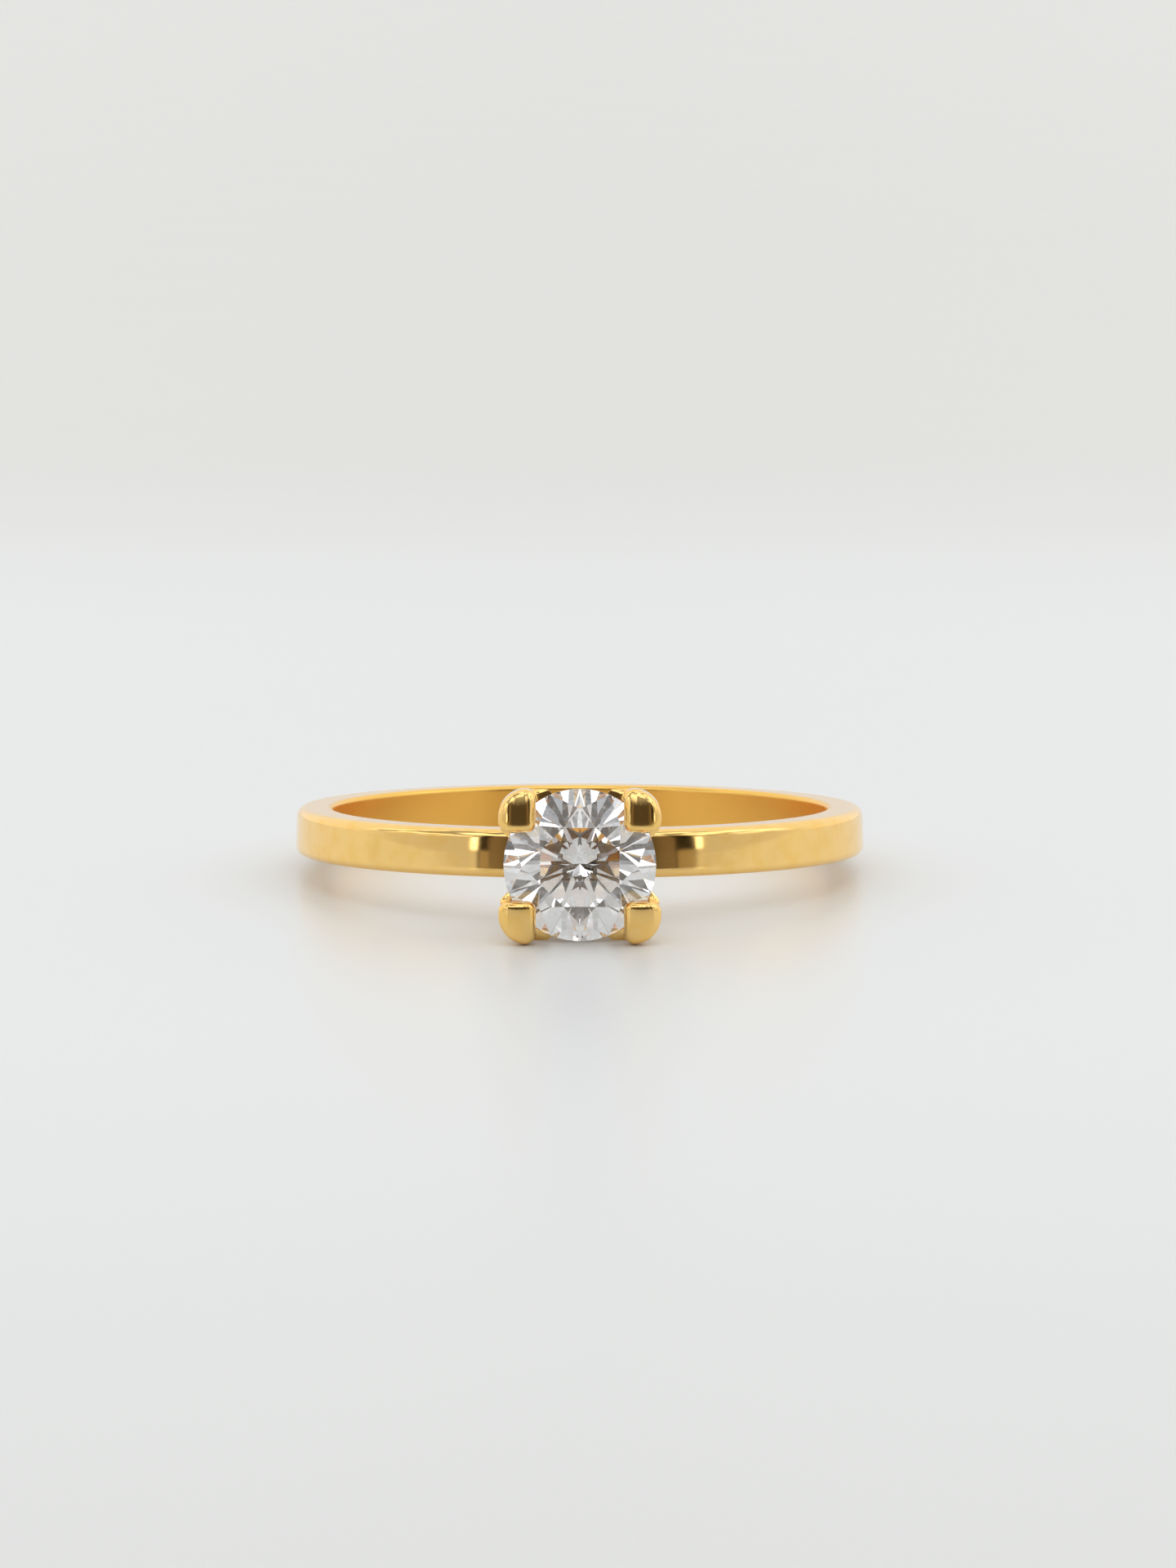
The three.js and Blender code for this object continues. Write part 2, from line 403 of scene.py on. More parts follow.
upper_girdle = scallops(star_tips, GIRDLE_HALF)
lower_girdle = scallops(lower_tips, -GIRDLE_HALF)
print("girdle thickness, thinnest:", round(float((upper_girdle - lower_girdle)[:, 2].min()), 3))

# %% [markdown]
# Now the corners are numbered and joined. Each kind of facet is one array of
# corner numbers: the table, the stars, the kites, the upper halves, the girdle,
# the lower halves and the long mains.

# %% Stone facets
rings = [table_corners, star_tips, upper_girdle, lower_girdle, lower_tips, culet[None]]
stone_corners = np.vstack(rings)
TABLE_AT, STAR_AT, UPPER_AT = 0, 8, 16
LOWER_AT = UPPER_AT + len(upper_girdle)
TIP_AT = LOWER_AT + len(lower_girdle)
CULET_AT = TIP_AT + 8
ROUND = len(upper_girdle)

k = np.arange(8)
after = (k + 1) % 8
before = (k - 1) % 8
on_main = k * 2 * GIRDLE_STEPS
halves = np.arange(16)
arcs = (halves[:, None] * GIRDLE_STEPS + np.arange(GIRDLE_STEPS + 1)) % ROUND
around = np.arange(ROUND)
onward = (around + 1) % ROUND

facets = [TABLE_AT + k[None, :]]
facets.append(np.stack([TABLE_AT + k, STAR_AT + k, TABLE_AT + after], -1))
facets.append(np.stack([TABLE_AT + k, STAR_AT + before, UPPER_AT + on_main, STAR_AT + k], -1))
facets.append(np.hstack([STAR_AT + owners[:, None], UPPER_AT + arcs]))
girdle_first = sum(len(group) for group in facets)
girdle_quads = [LOWER_AT + around, LOWER_AT + onward, UPPER_AT + onward, UPPER_AT + around]
facets.append(np.stack(girdle_quads, -1))
girdle_last = sum(len(group) for group in facets)
facets.append(np.hstack([TIP_AT + owners[:, None], LOWER_AT + arcs[:, ::-1]]))
mains_below = np.stack([np.full(8, CULET_AT), TIP_AT + k, LOWER_AT + on_main, TIP_AT + before], -1)
facets.append(mains_below)
facet_list = [face for group in facets for face in group.tolist()]

brilliant = bpy.data.meshes.new("brilliant_stone")
brilliant.from_pydata(lay_down(stone_corners).tolist(), [], facet_list)
brilliant.shade_flat()
stone = bpy.data.objects.new("brilliant_stone", brilliant)
bpy.context.scene.collection.objects.link(stone)
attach(stone, "root")
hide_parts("stone")
print("facets without the girdle:", len(facet_list) - ROUND)

# %% [markdown]
# Which way a facet faces decides whether light goes in or out, so it is
# checked rather than hoped for: each face's normal must point away from the
# middle of the stone. The faces of the girdle are marked with `bruted`, because
# their finish is another one.

# %% Check the facets
facing = np.empty(3 * len(brilliant.polygons))
brilliant.polygons.foreach_get("normal", facing)
middles = np.empty(3 * len(brilliant.polygons))
brilliant.polygons.foreach_get("center", middles)
heart = lay_down(np.array([0.0, 0.0, GIRDLE]))
outwardness = (facing.reshape(-1, 3) * (middles.reshape(-1, 3) - heart)).sum(1)
if outwardness.sum() < 0:
    brilliant.flip_normals()
alike = max((outwardness > 0).sum(), (outwardness < 0).sum())
print("faces that agree:", int(alike), "of", len(facet_list))

bruted = brilliant.attributes.new("bruted", "FLOAT", "FACE")
frosted = np.zeros(len(facet_list))
frosted[girdle_first:girdle_last] = 1.0
bruted.data.foreach_set("value", frosted)

# %% [markdown]
# ## The gallery rail and the collet
#
# Behind the stone a ring of wire ties the claws together, and a short tube on
# the band carries their feet. Both are turned round the stone's axis. The
# tube's foot is filed to a saddle that follows the round band, which is a
# lathe surface whose foot is let down to the height of the band below it.

# %% Rail
RAIL_INNER, RAIL_OUTER, RAIL_HALF, RAIL_HEIGHT = 1.3, 1.88, 0.26, 12.1
JOINT = 0.03


def turned_head(outline, around):
    """Outline (r, s) carried round the stone's axis: (r cos t, r sin t, s)."""
    angle = np.linspace(0, 2 * np.pi, around, endpoint=False)[:, None]
    radius, height = outline[:, 0], outline[:, 1]
    return np.stack([radius * np.cos(angle), radius * np.sin(angle), height + 0 * angle], -1)


rail_outline = rounded(
    [
        (RAIL_INNER, RAIL_HEIGHT - RAIL_HALF),
        (RAIL_OUTER, RAIL_HEIGHT - RAIL_HALF),
        (RAIL_OUTER, RAIL_HEIGHT + RAIL_HALF),
        (RAIL_INNER, RAIL_HEIGHT + RAIL_HALF),
    ],
    [0.2, 0.2, 0.2, 0.2],
)
rail = shell("gallery_wire", turned_head(evenly(rail_outline, 64), 192), ring=True)
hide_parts("gallery_rail")

# %% [markdown]
# The collet is the same kind of lathe surface, but its foot isn't flat. The
# tube is drawn on a flat foot first, and its heights are then stretched between
# the band's face and the tube's top, so the foot follows the band by itself.

# %% Collet
COLLET_INNER, COLLET_OUTER, COLLET_TOP = 0.75, 1.32, 10.95
TUBE = 0.85


def saddle(x):
    """Height of the band's face, plus the solder line, at x across it."""
    return np.sqrt((OUTER + JOINT) ** 2 - x**2)


def turned_collet(around):
    """The tube is drawn TUBE high on a flat foot; a height h at (x, y) then
    stands at saddle(x) + h / TUBE (top - saddle(x))."""
    outline = rounded(
        [(COLLET_INNER, 0.0), (COLLET_OUTER, 0.0), (COLLET_OUTER, TUBE), (COLLET_INNER, TUBE)],
        [0.06, 0.06, 0.16, 0.16],
    )
    points = turned_head(evenly(outline, 80), around)
    foot = saddle(points[..., 0])
    points[..., 2] = foot + points[..., 2] / TUBE * (COLLET_TOP - foot)
    return points


collet = shell("claw_collet", turned_collet(160), ring=True)
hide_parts("base_collet")

# %% [markdown]
# ## The claws
#
# A claw starts as a bar of gold that stands on the collet and splays outwards
# beside the stone. The setter cuts a seat for the girdle, bends the bar's end
# over the crown, and files the tip to a small pad with two straight sides and
# one big round corner. So a claw is a stack of outlines: a diagonal bar at the
# foot, changing into the squarer tip at the girdle, then closing over in a
# softly domed front. Where the stone, the rail or the collet is in the way,
# each outline is pushed out to its surface, which cuts the seat.

# %% Claw sizes
TIP_X = (1.47, 2.72)
TIP_Y = (1.17, 2.6)
TIP_RADII = (0.26, 0.36, 0.95, 0.36)
TIP_TOP = GIRDLE + 0.96
SLANT = 0.16
BELLY_X = 1.0
BELLY_F = 2.8
TIP_EDGE = 0.2
FOOT_SHARE = 0.53
FOOT_HEIGHT = 9.5
CLAW_AROUND = 240
print("claw tips stand above the girdle by, mm:", round(TIP_TOP - GIRDLE, 3))

# %% [markdown]
# Both outlines are turned into a list of distances from one middle point, in
# the same 240 headings. Two such lists can be blended number by number, which
# lets the leg's bar flow into the tip's squarer shape.


# %% Claw outlines
def tip_outline(inset):
    """The tip's outline, moved inwards by inset all round."""
    low_x, high_x = TIP_X[0] + inset, TIP_X[1] - inset
    low_y, high_y = TIP_Y[0] + inset, TIP_Y[1] - inset
    radii = np.maximum(np.array(TIP_RADII) - inset, 0.03)
    return rounded([(low_x, low_y), (high_x, low_y), (high_x, high_y), (low_x, high_y)], radii)


def leg_outline():
    """The leg's outline at the girdle: a bar along the diagonal whose inner
    face is square to it and whose outer corner is the head's own corner."""
    total, skew = 2.1 * np.sqrt(2), 1.06 * np.sqrt(2)
    corners = [
        ((total - skew) / 2, (total + skew) / 2),
        ((total + skew) / 2, (total - skew) / 2),
        (2.66, 2.66 - skew),
        (2.66, 2.54),
        (2.54 - skew, 2.54),
    ]
    return rounded(corners, [0.12, 0.12, 0.12, 0.88, 0.12])


heading = np.linspace(-np.pi, np.pi, CLAW_AROUND, endpoint=False)


def reach_from(outline, middle):
    """Distance from the middle to the outline in every heading."""
    dense = evenly(outline, 2000) - middle
    angle = np.arctan2(dense[:, 1], dense[:, 0])
    return np.interp(heading, angle, np.hypot(dense[:, 0], dense[:, 1]), period=2 * np.pi)


pad_middle = np.array([2.09, 1.87])
tip_reach = reach_from(tip_outline(0.0), pad_middle)
leg_reach = reach_from(leg_outline(), pad_middle)
widest = float(np.abs(leg_reach - tip_reach).max())
print("widest difference between leg and tip:", round(widest, 3))

# %% [markdown]
# The claw must not run into the stone that it holds. A boolean cut would leave
# ragged long faces, so each point is moved instead: if it lies nearer to the
# head's axis than the stone's surface does there, it is pushed straight out.
# The rail and the collet get their room in the same way.


# %% Where the stone, rail and collet stand in the way
def stone_reach(angle, height):
    """Radius of the stone in a direction at a height: the nearest facet
    plane, where r = (d - nz z) / (n . direction), or the girdle's radius. A
    plane that looks the other way gives no limit, unless it lies inside."""
    groups = [
        planes(table_corners, star_tips, np.roll(table_corners, -1, 0)),
        planes(table_corners, np.roll(star_tips, 1, 0), star_tips),
        half_facets(star_tips, GIRDLE_HALF),
        half_facets(lower_tips, -GIRDLE_HALF),
        planes(lower_tips, np.roll(lower_tips, 1, 0), np.repeat(culet[None], 8, 0)),
    ]
    normal = np.vstack([group[0] for group in groups])
    distance = np.concatenate([group[1] for group in groups])
    along = normal[:, 0] * np.cos(angle)[..., None] + normal[:, 1] * np.sin(angle)[..., None]
    room = distance - normal[:, 2] * height[..., None]
    no_limit = np.where(room < 0, -1.0, 9.0)
    radius = np.where(along > 1e-6, room / np.maximum(along, 1e-6), no_limit)
    return np.clip(radius.min(-1), 0.0, STONE)


def keep_out(points):
    """Pushes the points of a claw out to the stone, the rail and the collet,
    each along its own direction from the head's axis. The rail's room is
    (1 - z^8)^(1/8) deep, with z its height from 0 to 1: a soft-cornered slot."""
    angle = np.arctan2(points[..., 1], points[..., 0])
    radius = np.hypot(points[..., 0], points[..., 1])
    height = points[..., 2]
    stone_limit = stone_reach(angle, height)
    limit = np.where(stone_limit > 0, stone_limit + JOINT, 0.0)
    depth = np.clip(1 - ((height - RAIL_HEIGHT) / (RAIL_HALF + JOINT)) ** 8, 0, 1) ** 0.125
    slot = RAIL_OUTER + JOINT - 0.12 * (1 - depth)
    limit = np.maximum(limit, np.where(depth > 0, slot, 0.0))
    beside_collet = height < COLLET_TOP + JOINT
    limit = np.maximum(limit, np.where(beside_collet, COLLET_OUTER + JOINT, 0.0))
    grown = np.maximum(radius, limit) / radius
    return np.stack([points[..., 0] * grown, points[..., 1] * grown, height], -1)


# %% [markdown]
# The rows are stacked from the foot to the front: the leg, the turn at the
# girdle, the tip's straight side, its rounded edge and its domed pad. Only one
# claw is worked out, and the other three are its mirror images.

# %% Claw leg
LEG_TOP = GIRDLE - 0.16
TIP_START = GIRDLE + 0.02


def claw_rows():
    """Rows of one claw where x and f are positive, up to the tip's edge. Up to
    the girdle the leg's outline is scaled evenly with height; across the girdle
    it changes to the tip's; above it the tip's straight side rises to its edge."""
    share = np.linspace(0, 1, 84)[:, None]
    low_scale = FOOT_SHARE + (1 - FOOT_SHARE) * (OUTER - FOOT_HEIGHT) / (GIRDLE - FOOT_HEIGHT)
    direction = np.stack([np.cos(heading), np.sin(heading)], -1)
    foot = saddle(low_scale * (pad_middle[0] + leg_reach * direction[:, 0]))
    height = foot + share * (LEG_TOP - foot)
    scale = FOOT_SHARE + (1 - FOOT_SHARE) * (height - FOOT_HEIGHT) / (GIRDLE - FOOT_HEIGHT)
    leg_x = scale * (pad_middle[0] + leg_reach * direction[:, 0])
    leg_y = scale * (pad_middle[1] + leg_reach * direction[:, 1])
    leg = np.stack([leg_x, leg_y, height], -1)

    share = np.linspace(0, 1, 9)[1:, None]
    ease = share * share * (3 - 2 * share)
    reach = leg_reach + (tip_reach - leg_reach) * ease
    height = LEG_TOP + share * (TIP_START - LEG_TOP) + 0 * heading
    flat = pad_middle + reach[..., None] * direction
    turn = np.concatenate([flat, height[..., None]], -1)

    share = np.linspace(0, 1, 30)[1:, None]
    height = TIP_START + share * (TIP_TOP - TIP_EDGE - TIP_START) + 0 * heading
    flat = pad_middle + tip_reach[..., None] * direction + 0 * height[..., None]
    side = np.concatenate([flat, height[..., None]], -1)
    return [keep_out(leg), keep_out(turn), side]


leg_rows, turn_rows, side_rows = claw_rows()
print("claw rows up to the tip's edge:", len(leg_rows) + len(turn_rows) + len(side_rows))

# %% [markdown]
# The front of a claw is what one sees. Its edge is a small quarter round, and
# inside the edge the outline shrinks to one point. Then the whole front is
# swelled and leaned outwards, as a file and a buff leave it.


# %% Claw front
def claw_front():
    """Rows of the claw's front: the edge is a quarter circle of TIP_EDGE, and
    inside it the outline shrinks to a pole."""
    bend = np.linspace(0, np.pi / 2, 16)[1:]
    direction = np.stack([np.cos(heading), np.sin(heading)], -1)
    rows = []
    for angle in bend:
        reach = reach_from(tip_outline(TIP_EDGE * (1 - np.cos(angle))), pad_middle)
        flat = pad_middle + reach[:, None] * direction
        height = np.full((CLAW_AROUND, 1), TIP_TOP - TIP_EDGE * (1 - np.sin(angle)))
        rows.append(np.hstack([flat, height]))
    edge = rows[-1]
    shrink = np.linspace(1, 0, 22)[1:-1, None, None]
    flat = pad_middle + (edge[None, :, :2] - pad_middle) * shrink
    height = TIP_TOP + 0 * flat[..., :1]
    return [np.stack(rows), np.concatenate([flat, height], -1)]


def bellied(points):
    """The front leans outwards and swells like a pillow: above the girdle a
    point drops by SLANT times its distance outwards from the pad's middle,
    plus x^2 / (2 BELLY_X) + f^2 / (2 BELLY_F), the more the higher it is."""
    lift = np.clip((points[..., 2] - TIP_START) / (TIP_TOP - TIP_START), 0, 1)
    x = points[..., 0] - pad_middle[0]
    f = points[..., 1] - pad_middle[1]
    drop = SLANT * (f + 0.3 * x) + x**2 / (2 * BELLY_X) + f**2 / (2 * BELLY_F)
    lowered = points.copy()
    lowered[..., 2] -= lift * drop
    return lowered


edge_rows, pad_rows = claw_front()
upper_rows = np.vstack([side_rows, edge_rows, pad_rows])
claw_grid = np.vstack([leg_rows, turn_rows, keep_out(bellied(upper_rows))])
foot_pole = np.append(leg_rows[0, :, :2].mean(0), leg_rows[0, :, 2].mean())
top_pole = bellied(np.array([[*pad_middle, TIP_TOP]]))[0]
claw_poles = np.array([foot_pole, top_pole])
print("points of one claw:", claw_grid.shape[0] * claw_grid.shape[1] + 2)

# %% [markdown]
# A mirrored shell is inside out, and `shell` turns it back, because the volume
# that it measures would be negative. Edges sharper than 38 degrees stay crisp.

# %% Four claws
for level, side_f in (("upper", 1), ("lower", -1)):
    for side, side_x in (("left", -1), ("right", 1)):
        mirror = np.array([side_x, side_f, 1])
        claw = shell(f"claw_{level}_{side}_filed", claw_grid * mirror, poles=claw_poles * mirror)
        claw.data.set_sharp_from_angle(angle=np.radians(38))
        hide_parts(f"claw_{level}_{side}")

# %% [markdown]
# ## Shader sums written as sums
#
# Node trees are easier to read as formulas. A `Wire` holds one output socket,
# and adding or multiplying wires adds the Math nodes. Every other node comes
# from one method: its kind, its settings, then what goes into its sockets.


# %% Wire helper
class Wire:
    """One output socket of a node tree, with arithmetic on it."""

    def __init__(self, tree, socket=None):
        self.tree = tree
        self.socket = socket

    def node(self, kind, settings=None, inputs=None, output=0):
        """Adds a node; settings are set first, then its sockets are filled."""
        made = self.tree.nodes.new("ShaderNode" + kind)
        for name, value in (settings or {}).items():
            if name == "stops":
                set_stops(made.color_ramp, value)
            else:
                setattr(made, name, value)
        for name, value in (inputs or {}).items():
            if isinstance(value, Wire):
                self.tree.links.new(value.socket, made.inputs[name])
            else:
                made.inputs[name].default_value = value
        return Wire(self.tree, made.outputs[output] if made.outputs else None)

    def math(self, operation, *values):
        """A Math node with these wires or numbers in its sockets."""
        return self.node("Math", {"operation": operation}, dict(enumerate(values)))

    def __add__(self, other):
        return self.math("ADD", self, other)

    __radd__ = __add__

    def __sub__(self, other):
        return self.math("SUBTRACT", self, other)

    def __rsub__(self, other):
        return self.math("SUBTRACT", other, self)

    def __mul__(self, other):
        return self.math("MULTIPLY", self, other)

    __rmul__ = __mul__

    def between(self, low, high):
        """0 below low, 1 above high, and a soft step from one to the other."""
        settings = {"interpolation_type": "SMOOTHSTEP"}
        return self.node("MapRange", settings, {"Value": self, "From Min": low, "From Max": high})

    def mix(self, low, high):
        """The colour low where this wire is 0, and high where it is 1."""
        settings = {"data_type": "RGBA"}
        return self.node("Mix", settings, {0: self, 6: low, 7: high}, output=2)


def set_stops(ramp, stops):
    """Puts (place, colour) stops on a colour ramp."""
    while len(ramp.elements) < len(stops):
        ramp.elements.new(1.0)
    for element, (place, colour) in zip(ramp.elements, stops):
        element.position = place
        element.color = colour


def new_material(name):
    """An empty material, and a wire to start its tree from."""
    material = bpy.data.materials.new(name)
    material.use_nodes = True
    material.node_tree.nodes.clear()
    return material, Wire(material.node_tree)


# %% [markdown]
# ## Polished yellow gold
#
# The ring is 18 carat yellow gold, buffed on a wheel. Almost all of its look
# is what it reflects, so the finish is a clean metal with three small faults
# that make it real: a slow waviness left by the buffing, hair-fine scratches
# in a few directions, and patches where the polish is a little duller. The
# patterns are counted in millimetres, from the piece's own coordinates. Only
# the band has the `inside` mark; the others read 0 there. The rail and collet
# can't be reached by the wheel, so their gold is paler and less bright.

# %% Gold
GOLD = (0.985, 0.655, 0.235, 1.0)
# The deep gold is the tone of clouded patches, and on the band's inner face it is painted
# reflection.
GOLD_DEEP_TONE_AND_REFLECTION = (0.950, 0.575, 0.135, 1.0)
GOLD_PALE = (0.960, 0.840, 0.640, 1.0)


def gold_finish(name, dullness, wave, light=GOLD, deep=GOLD_DEEP_TONE_AND_REFLECTION):
    """Metal whose bump is waviness less scratches, and whose roughness is
    dullness plus a share for clouded patches, scratches and the inner face.
    Its colour goes halfway to deep in clouded patches, and fully to it on the
    inner face, where the deeper gold is painted reflection."""
    material, start = new_material(name)
    place = start.node("TexCoord", output=3)
    in_mm = start.node("VectorMath", {"operation": "SCALE"}, {0: place, "Scale": 1000.0})
    waviness = start.node("TexNoise", {}, {"Vector": in_mm, "Scale": 0.7, "Detail": 1.0})
    clouds = start.node("TexNoise", {}, {"Vector": in_mm, "Scale": 1.6, "Detail": 3.0})
    hairs = []
    for turn in (0.3, 1.4, 2.5):
        settings = {"Rotation": (turn, 0.6 * turn, turn), "Scale": (1.2, 1.2, 45.0)}
        along = start.node("Mapping", {}, {"Vector": in_mm, **settings})
        fine = start.node("TexNoise", {}, {"Vector": along, "Scale": 1.0, "Detail": 2.0})
        hairs.append(fine.between(0.62, 0.80))
    scratches = hairs[0] + hairs[1] + hairs[2]
    height = wave * waviness - 0.00002 * scratches
    bump = start.node("Bump", {}, {"Height": height, "Distance": 0.001, "Strength": 1.0})
    clouded = clouds.between(0.4, 0.7)
    inside = start.node("Attribute", {"attribute_name": "inside"}, output=2)
    # Painted reflection: on the band's inner face the base colour goes fully to the deep gold,
    # standing in for light bounced between the inner walls; clouded patches get half of it as a
    # random tone.
    colour = (0.5 * clouded + inside).mix(light, deep)
    roughness = dullness + 0.02 * clouded + 0.03 * scratches + 0.22 * inside
    finish = {"Base Color": colour, "Roughness": roughness, "Normal": bump, "Metallic": 1.0}
    metal = start.node("BsdfPrincipled", {}, finish)
    start.node("OutputMaterial", {}, {"Surface": metal})
    return material


band_gold = gold_finish("gold_band_polish", 0.07, 0.0012)
claw_gold = gold_finish("gold_claw_polish", 0.08, 0.0010)
seat_gold = gold_finish("gold_under_stone", 0.14, 0.002, GOLD_PALE, GOLD)
print("gold finishes:", [gold.name for gold in (band_gold, claw_gold, seat_gold)])

# %% [markdown]
# ## The diamond
#
# Diamond is a clear glass with a very high refractive index, 2.42, and that
# number alone makes the light bounce inside and come back out of the front.
# The facets are polished to a mirror. Only the girdle is left bruted, ground
# round on the wheel, so it is frosted.

# %% Diamond
diamond, start = new_material("diamond_clear")
bruted_here = start.node("Attribute", {"attribute_name": "bruted"}, output=2)
place = start.node("TexCoord", output=3)
in_mm = start.node("VectorMath", {"operation": "SCALE"}, {0: place, "Scale": 1000.0})
grain = start.node("TexNoise", {}, {"Vector": in_mm, "Scale": 30.0, "Detail": 2.0})
ground = {"Height": 0.004 * grain * bruted_here, "Distance": 0.001, "Strength": 1.0}
bump = start.node("Bump", {}, ground)
body = bruted_here.mix((1.0, 1.0, 1.0, 1.0), (0.93, 0.93, 0.94, 1.0))
clear = {
    "Base Color": body,
    "Roughness": 0.3 * bruted_here,
    "IOR": 2.417,
    "Transmission Weight": 1.0,
    "Normal": bump,
}
start.node("OutputMaterial", {}, {"Surface": start.node("BsdfPrincipled", {}, clear)})
print("diamond nodes:", len(diamond.node_tree.nodes))

# %% [markdown]
# A piece gets its finish when all pieces are made. The claws share one finish,
# so it is the one that any piece without an entry of its own is given.

# %% Finishes on the pieces
finishes = {"finger_band": band_gold, "gallery_wire": seat_gold, "claw_collet": seat_gold}
finishes["brilliant_stone"] = diamond
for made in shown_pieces():
    if "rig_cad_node" in made:
        continue
    made.data.materials.append(finishes.get(made.name, claw_gold))
    print(made.name, "wears", made.data.materials[0].name)

# %% [markdown]
# ## The frame's own pieces
#
# Every piece of the drawing now has its finished stand-in, so the plain ones
# are hidden.

# %% Check that nothing plain is left
plain = [node.name for node in frame["nodes"].values() if not node.hide_render]
print("frame pieces still shown:", plain)

# %% [markdown]
# ## The table
#
# The ring lies on a sheet of smooth white board. Its slight sheen gives the
# faint blurred reflection under the head. Far back the sheet is painted darker
# and a little warmer, and close to us a little greyer: painted shade, not the
# board's own colour. It is made in two rectangles, because a polished band
# mirrors everything: the piece in front is left out of reflections, so that
# the band mirrors the dim room there and not more white.

# %% Table
REACH = 4.0
FRONT = -0.115


def board_piece(name, low_y, high_y):
    """A flat rectangle on the ground between two distances."""
    mesh = bpy.data.meshes.new(name)
    near = [(-REACH, low_y, 0.0), (REACH, low_y, 0.0)]
    far = [(REACH, high_y, 0.0), (-REACH, high_y, 0.0)]
    mesh.from_pydata(near + far, [], [(0, 1, 2, 3)])
    made = bpy.data.objects.new(name, mesh)
    bpy.context.scene.collection.objects.link(made)
    return made


floor = board_piece("white_board", FRONT, REACH)
apron = board_piece("white_board_front", -REACH, FRONT)
apron.visible_glossy = False
print("board pieces:", floor.name, apron.name)

# %% [markdown]
# Matt paper with a little clay on it: a rough sheen over white, never quite
# even. Its colour changes only with the distance, in three soft steps: white in
# the middle, and painted shade far back and close to us.

# %% Board finish
# The far and near colours are painted shade: darker than the white board, the far one with a warm
# tint.
PAPER = (0.815, 0.825, 0.805, 1.0)
PAPER_FAR_SHADE = (0.745, 0.740, 0.695, 1.0)
PAPER_NEAR_SHADE = (0.745, 0.745, 0.715, 1.0)
board, start = new_material("board_white")
place = start.node("TexCoord", output=3)
depth = start.node("SeparateXYZ", {}, {0: place}, output=1)
# Painted shade: these two masks darken the board far back and close to us.
further_shade = depth.between(0.060, 0.150)
nearer = 1 - depth.between(-0.100, -0.020)
mottle = start.node("TexNoise", {}, {"Vector": place, "Scale": 60.0, "Detail": 3.0})
paper = nearer.mix(further_shade.mix(PAPER, PAPER_FAR_SHADE), PAPER_NEAR_SHADE)
sheet = {"Base Color": paper, "Roughness": 0.29 + 0.05 * mottle, "IOR": 1.45}
start.node("OutputMaterial", {}, {"Surface": start.node("BsdfPrincipled", {}, sheet)})
for sheet_piece in (floor, apron):
    sheet_piece.data.materials.append(board)
    print(sheet_piece.name, "wears", board.name)

# %% [markdown]
# ## The light
#
# The ring lies in a white tent: bright above, a little darker towards the
# horizon at the sides. In front there is an opening for the camera, with a
# dim brown room behind it and a black curtain at each edge. Gold and diamond
# show all of this, so the light is drawn as a picture of the tent seen from
# the ring, from the direction alone: its height, and its angle from the front.
# The first cell finds these two, and the second paints the horizon.

# %% Directions in the tent
world = bpy.data.worlds.new("tent")
bpy.context.scene.world = world
world.use_nodes = True
world.node_tree.nodes.clear()
start = Wire(world.node_tree)
direction = start.node("TexCoord", output=0)
split = start.node("SeparateXYZ", {}, {0: direction})
right = split
back = Wire(start.tree, split.socket.node.outputs[1])
up = Wire(start.tree, split.socket.node.outputs[2])
turn = start.math("ARCTAN2", right, -1 * back)
degrees = (180 / np.pi) * turn


def zone(low, high):
    """1 between two angles from the front, fading to 0 within a degree."""
    return degrees.between(low - 1, low) * (1 - degrees.between(high, high + 1))


print("tent nodes so far:", len(world.node_tree.nodes))


# %% Horizon
def seen_at(angle, grey, warmth=0.0):
    """A stop of the horizon's picture: where it stands, in degrees from the
    front, and how bright it is; warmth takes blue away, and half as much green."""
    colour = (grey, grey * (1 - warmth / 2), grey * (1 - warmth), 1.0)
    return ((angle + 180) / 360, colour)


horizon = [
    seen_at(-180, 0.80, 0.03),
    seen_at(-150, 1.05, 0.02),
    seen_at(-105, 0.98, 0.02),
    seen_at(-80, 0.72, 0.02),
    seen_at(-42.0, 0.62, 0.02),
    seen_at(-41.0, 0.02, 0.4),
    seen_at(-37.6, 0.02, 0.4),
    seen_at(-36.0, 0.22, 0.42),
    seen_at(-31.0, 0.18, 0.42),
    seen_at(-27.0, 0.085, 0.35),
    seen_at(28.0, 0.085, 0.35),
    seen_at(33.0, 0.18, 0.42),
    seen_at(38.0, 0.20, 0.42),
    seen_at(39.5, 0.02, 0.4),
    seen_at(47.0, 0.02, 0.4),
    seen_at(48.0, 0.62, 0.02),
    seen_at(85, 0.72, 0.02),
    seen_at(110, 0.98, 0.02),
    seen_at(150, 1.05, 0.02),
    seen_at(180, 0.80, 0.03),
]
picture = start.node("ValToRGB", {"stops": horizon}, {"Fac": 0.5 + (1 / 360) * degrees})
print("stops on the horizon:", len(horizon))

# %% [markdown]
# Two small things sit on the horizon. The tent's folded edges catch a narrow
# strip of light beside each curtain, and the curtains end a little above the
# table, where light comes in under them. Both give the band its short dark
# patches with a bright edge, next to the stone.

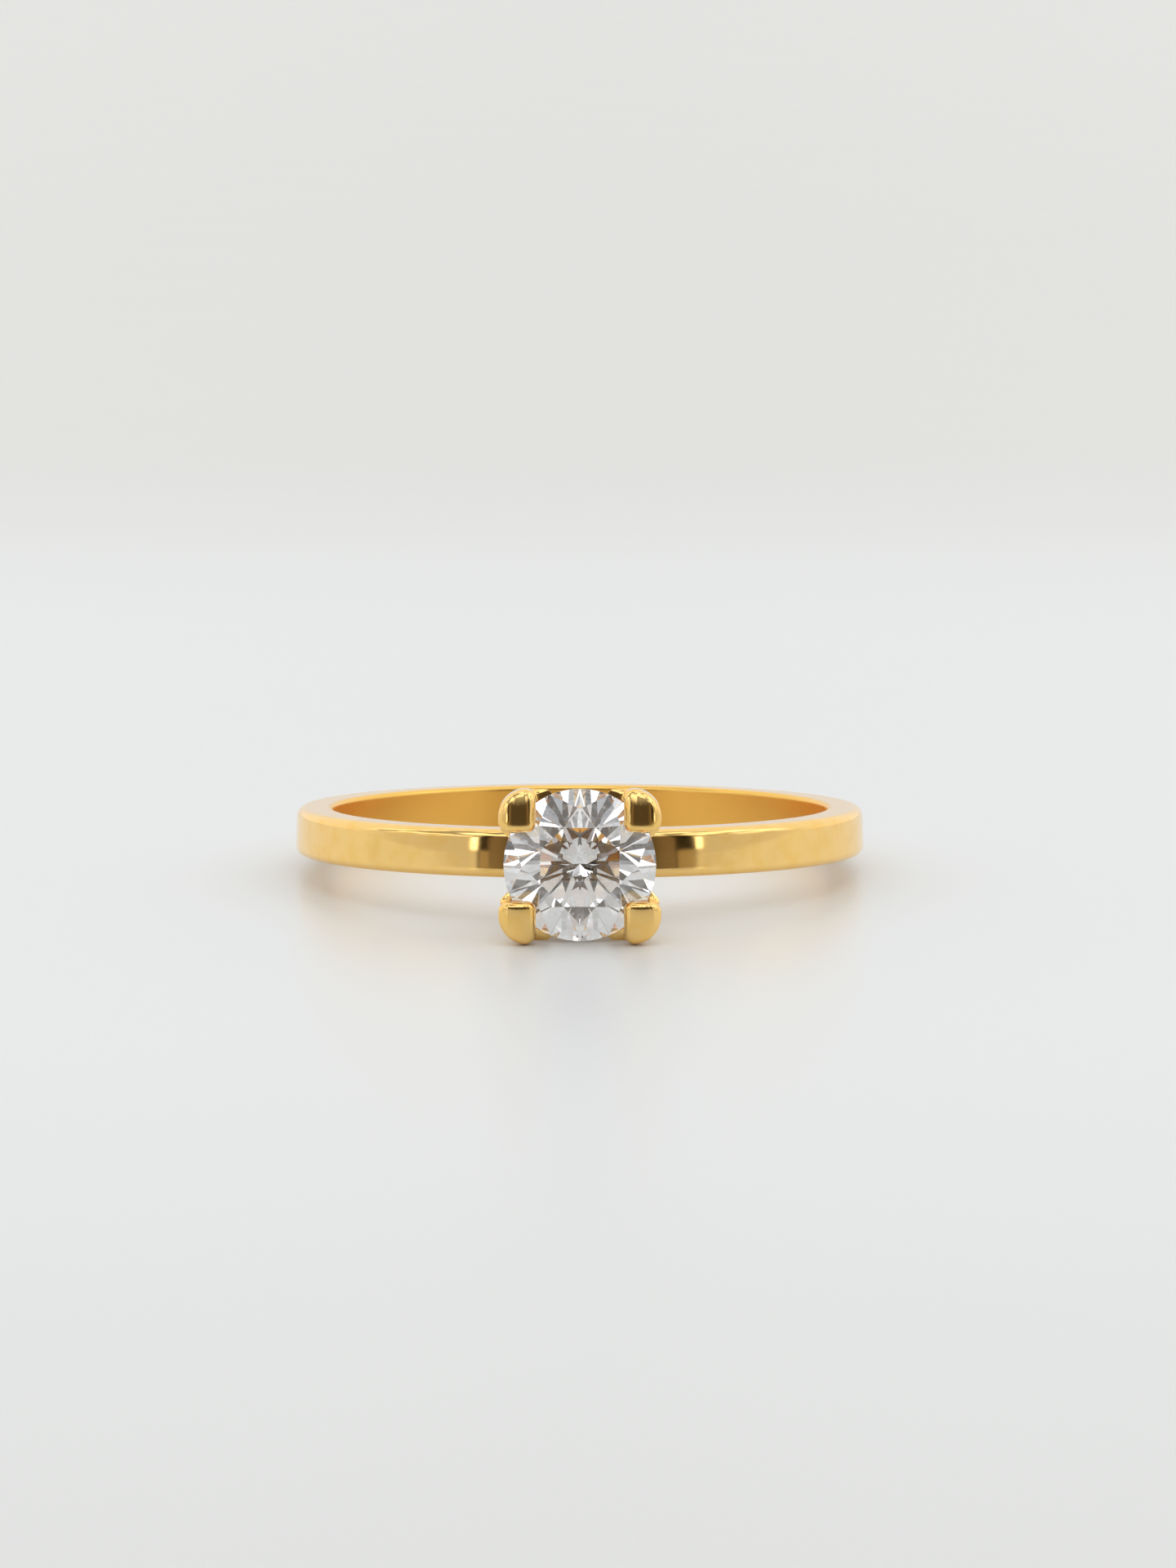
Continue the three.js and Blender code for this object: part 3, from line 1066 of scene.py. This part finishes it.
# %% Folded edges and curtain ends
FOLD_LIGHT = (2.60, 2.53, 2.45, 1.0)
CURTAIN_GAP = (0.36, 0.30, 0.22, 1.0)
over_table = up.between(0.019, 0.034)
edges = (zone(-44.0, -42.0) + zone(48.0, 49.8)) * over_table * (1 - up.between(0.12, 0.25))
picture = edges.mix(picture, FOLD_LIGHT)
gaps = (zone(-40.0, -37.0) + zone(40.0, 46.5)) * (1 - over_table)
picture = gaps.mix(picture, CURTAIN_GAP)
print("tent nodes so far:", len(world.node_tree.nodes))

# %% [markdown]
# Above the horizon comes the ceiling. At the sides it starts low, and over the
# opening it starts higher. A brilliant needs contrast to sparkle, so in front
# the ceiling is a patchwork of lamps and unlit cloth, and every facet finds
# another patch. Below the horizon there is plain light board.

# %% Ceiling
CEILING = (1.00, 1.02, 1.045, 1.0)
CLOTH = (0.42, 0.43, 0.45, 1.0)
LAMP = (1.65, 1.67, 1.70, 1.0)
GROUND = (0.78, 0.77, 0.74, 1.0)
front = zone(-45.0, 51.0)
side_share = up.between(0.05, 0.60)
front_share = up.between(0.42, 0.58)
ceiling_share = side_share + front * (front_share - side_share)
patches = start.node("TexNoise", {}, {"Vector": direction, "Scale": 5.0, "Detail": 1.0})
patchwork = patches.between(0.46, 0.54).mix(CLOTH, LAMP)
ceiling = zone(-100.0, 100.0).mix(CEILING, patchwork)
tent = ceiling_share.mix(picture, ceiling)
below = 1 - up.between(-0.045, -0.030)
tent = below.mix(tent, GROUND)
light = start.node("Background", {}, {"Color": tent, "Strength": 1.0})
start.node("OutputWorld", {}, {"Surface": light})
print("tent nodes:", len(world.node_tree.nodes))

# %% [markdown]
# ## How the light is followed and shown
#
# Light bounces many times inside a brilliant before it comes out, so the
# bounce limits are raised. Light that comes back by a long way is capped, which
# keeps single bright specks out. The plain "Standard" view keeps whites white.

# %% Light paths and view
scene = bpy.context.scene
scene.cycles.max_bounces = 32
scene.cycles.glossy_bounces = 24
scene.cycles.transmission_bounces = 24
scene.cycles.diffuse_bounces = 6
scene.cycles.sample_clamp_indirect = 3.0
scene.view_settings.view_transform = "Standard"
print("light bounces:", scene.cycles.max_bounces, "view:", scene.view_settings.view_transform)
